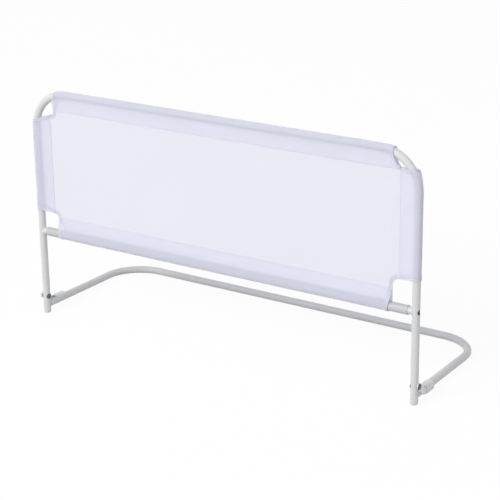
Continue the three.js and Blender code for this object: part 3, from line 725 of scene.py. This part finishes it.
# A notch's edge at a distance in from the cut, and so far behind the panel, as points (x, y, z)
def panel_edge_line(corner, inward, behind):
    side, notch, base, up = corner
    edge = notch_edge(notch)
    line = []
    for i, (reach, depth) in enumerate(edge):
        before, after = edge[max(i - 1, 0)], edge[min(i + 1, len(edge) - 1)]
        run, rise = after[0] - before[0], after[1] - before[1]
        length = max(math.hypot(run, rise), TINY)
        reach_in = reach - rise / length * inward
        depth_in = depth + run / length * inward
        line.append((side * (LEG_X - reach_in), PANEL_Y + behind, base + up * depth_in))
    return line


# Hems folded behind the panel's free edges
def panel_hems(material):
    vertices, uvs, faces = [], [], []
    for corner in panel_corners():
        lines = [
            panel_edge_line(corner, 0, 0),
            panel_edge_line(corner, UNDER_ROW_SHARES[-1] * HEM_WIDTH, HEM_GAP),
            panel_edge_line(corner, HEM_WIDTH, HEM_GAP),
        ]
        faces += grid_faces(len(lines), len(lines[0]), len(vertices))
        for line in lines:
            for x, y, z in line:
                vertices.append((x, y, z))
                uvs.append((x, z))
    thing = mesh_object("mesh_panel_hems", vertices, faces, uvs, material)
    clean_mesh(thing)
    return thing


def panel_stitch_lines():
    return [panel_edge_line(corner, HEM_STITCH, -STITCH_RADIUS) for corner in panel_corners()]


# All the cloth stays with the upright frame
def ride_upright(piece):
    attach(piece, "upright")
    return piece


# Every fabric piece with the small pieces sewn to it
def make_fabric():
    # Painted light: the sleeves' cloth is made paler than the panel's mesh
    woven = open_weave("woven_sleeve_fabric_painted_light", WOVEN_PITCH, WOVEN_PAINTED_LIGHT_TONE)
    mesh = open_weave("fine_mesh_fabric", MESH_PITCH, MESH_TONE)
    thread = seam_thread()
    panel = ride_upright(mesh_panel(mesh))
    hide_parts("mesh_panel")
    hems = ride_upright(panel_hems(mesh))
    rows = ride_upright(stitches("mesh_panel_stitches", panel_stitch_lines(), thread))
    pieces = {"mesh_panel": (panel, [hems, rows])}
    for shape in (top_sleeve(), bottom_sleeve(), leg_sleeve(-1), leg_sleeve(1)):
        name = shape["name"]
        cloth = ride_upright(sleeve(shape, woven))
        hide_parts(name)
        lines = sleeve_stitch_lines(shape)
        rows = ride_upright(stitches(f"{name}_stitches", lines, thread))
        pieces[name] = (cloth, [rows])
    return pieces


# The frame's own nodes get their materials by kind
def dress_frame():
    plastic = white_surface("white_moulded_plastic", PLASTIC, CAP_TONE)
    # Painted light: the covers' plastic is the caps' plastic made paler
    cover_plastic = white_surface("cover_plastic_painted_light", PLASTIC, COVER_PAINTED_LIGHT_TONE)
    zinc = dark_zinc()
    kinds = {
        "upper_frame": white_surface("frame_powder_coat", PAINT, FRAME_TONE),
        # Painted shade: the base bar's coat is the frame's coat made darker
        "base_bar": white_surface("base_powder_coat_painted_shade", PAINT, BASE_PAINTED_SHADE_TONE),
        # Painted shade: the cross rail's coat is the frame's coat made darker
        "cross_rail": white_surface("rail_powder_coat_painted_shade", PAINT, RAIL_PAINTED_SHADE_TONE),
        # Painted light: the hinge plate's coat is the frame's coat made paler
        "hinge_plate": white_surface("plate_powder_coat_painted_light", PAINT, PLATE_PAINTED_LIGHT_TONE),
        "leg_cap": plastic, "rail_plug": plastic,
        "arm_plug": cover_plastic, "hinge_cover": cover_plastic,
        "rail_bolt": zinc, "rail_bush": zinc, "rail_nut": zinc, "plate_rivet": zinc,
        "pivot_bolt": zinc, "pivot_bush": zinc, "pivot_nut": zinc,
    }
    for name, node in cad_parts.items():
        for kind, material in kinds.items():
            if name.startswith(kind):
                for place in node.material_slots:
                    place.material = material


# Stage
# 1 for what the camera sees, straight, mirrored or through something clear, and 0 for scattered light
def seen_ray(nodes, links):
    path = nodes.new("ShaderNodeLightPath")
    first = combine(nodes, links, "MAXIMUM", path.outputs["Is Camera Ray"], path.outputs["Is Glossy Ray"])
    return combine(nodes, links, "MAXIMUM", first, path.outputs["Is Transmission Ray"])


# A floor that looks white and keeps the object's shadow, but throws little light back up
def floor_material():
    material = bpy.data.materials.new("pale_floor")
    material.use_nodes = True
    nodes, links = material.node_tree.nodes, material.node_tree.links
    nodes.clear()
    output = nodes.new("ShaderNodeOutputMaterial")
    diffuse = nodes.new("ShaderNodeBsdfDiffuse")
    glow = nodes.new("ShaderNodeEmission")
    glow.inputs["Strength"].default_value = 1
    seen = seen_ray(nodes, links)
    bounce = (FLOOR_BOUNCE_SHARE, FLOOR_BOUNCE_SHARE, FLOOR_BOUNCE_SHARE)
    links.new(mix_colours(nodes, links, seen, bounce, WHITE), diffuse.inputs["Color"])
    share = combine(nodes, links, "MULTIPLY", seen, FLOOR_GLOW_SHARE)
    links.new(mix_shaders(nodes, links, share, diffuse, glow), output.inputs["Surface"])
    return material


def make_floor():
    mesh = bpy.data.meshes.new("floor")
    work = bmesh.new()
    corners = [(-1, -1), (1, -1), (1, 1), (-1, 1)]
    work.faces.new([work.verts.new((x * FLOOR_HALF, y * FLOOR_HALF, 0)) for x, y in corners])
    work.to_mesh(mesh)
    work.free()
    mesh.materials.append(floor_material())
    floor = bpy.data.objects.new("floor", mesh)
    bpy.context.collection.objects.link(floor)


# A soft dome of light, weaker overhead, that looks plain white wherever it is seen
def make_world():
    world = bpy.data.worlds.new("studio")
    bpy.context.scene.world = world
    world.use_nodes = True
    nodes, links = world.node_tree.nodes, world.node_tree.links
    nodes.clear()
    output = nodes.new("ShaderNodeOutputWorld")
    light = nodes.new("ShaderNodeBackground")
    light.inputs["Color"].default_value = opaque(SKY_COLOUR)
    place = nodes.new("ShaderNodeTexCoord")
    split = nodes.new("ShaderNodeSeparateXYZ")
    links.new(place.outputs["Generated"], split.inputs["Vector"])
    overhead = add_ramp(nodes, links, split.outputs["Z"], DOME_STRENGTH, DOME_STRENGTH * ZENITH_SHARE)
    links.new(overhead, light.inputs["Strength"])
    white = nodes.new("ShaderNodeBackground")
    white.inputs["Color"].default_value = opaque(WHITE)
    white.inputs["Strength"].default_value = 1
    seen = seen_ray(nodes, links)
    links.new(mix_shaders(nodes, links, seen, light, white), output.inputs["Surface"])


def make_key_light():
    lamp = bpy.data.lights.new("key", "AREA")
    lamp.energy = KEY_POWER
    lamp.size = KEY_SIZE
    key = bpy.data.objects.new("key", lamp)
    key.location = KEY_PLACE
    target = Vector((0, 0, TOP_Z / 2))
    key.rotation_euler = (target - KEY_PLACE).to_track_quat("-Z", "Y").to_euler()
    bpy.context.collection.objects.link(key)


def make_camera():
    forward = Vector((-math.sin(CAMERA_YAW) * math.cos(CAMERA_PITCH),
                      math.cos(CAMERA_YAW) * math.cos(CAMERA_PITCH), -math.sin(CAMERA_PITCH)))
    level = Vector((math.cos(CAMERA_YAW), math.sin(CAMERA_YAW), 0))
    down = forward.cross(level)
    right = math.cos(CAMERA_ROLL) * level + math.sin(CAMERA_ROLL) * down
    down = math.cos(CAMERA_ROLL) * down - math.sin(CAMERA_ROLL) * level
    lens = bpy.data.cameras.new("camera")
    lens.sensor_width = SENSOR
    lens.lens = FOCAL_PIXELS / PICTURE * SENSOR
    lens.shift_x = (PICTURE / 2 - CENTRE_U) / PICTURE
    lens.shift_y = (CENTRE_V - PICTURE / 2) / PICTURE
    camera = bpy.data.objects.new("camera", lens)
    bpy.context.collection.objects.link(camera)
    place = CAMERA_PLACE + Vector((0, PANEL_Y, 0))
    turn = Matrix((right, -down, -forward)).transposed()
    camera.matrix_world = Matrix.Translation(place) @ turn.to_4x4()
    bpy.context.scene.camera = camera


bpy.context.scene.view_settings.view_transform = "Standard"
make_camera()
make_world()
make_key_light()
make_floor()
dress_frame()
make_fabric()
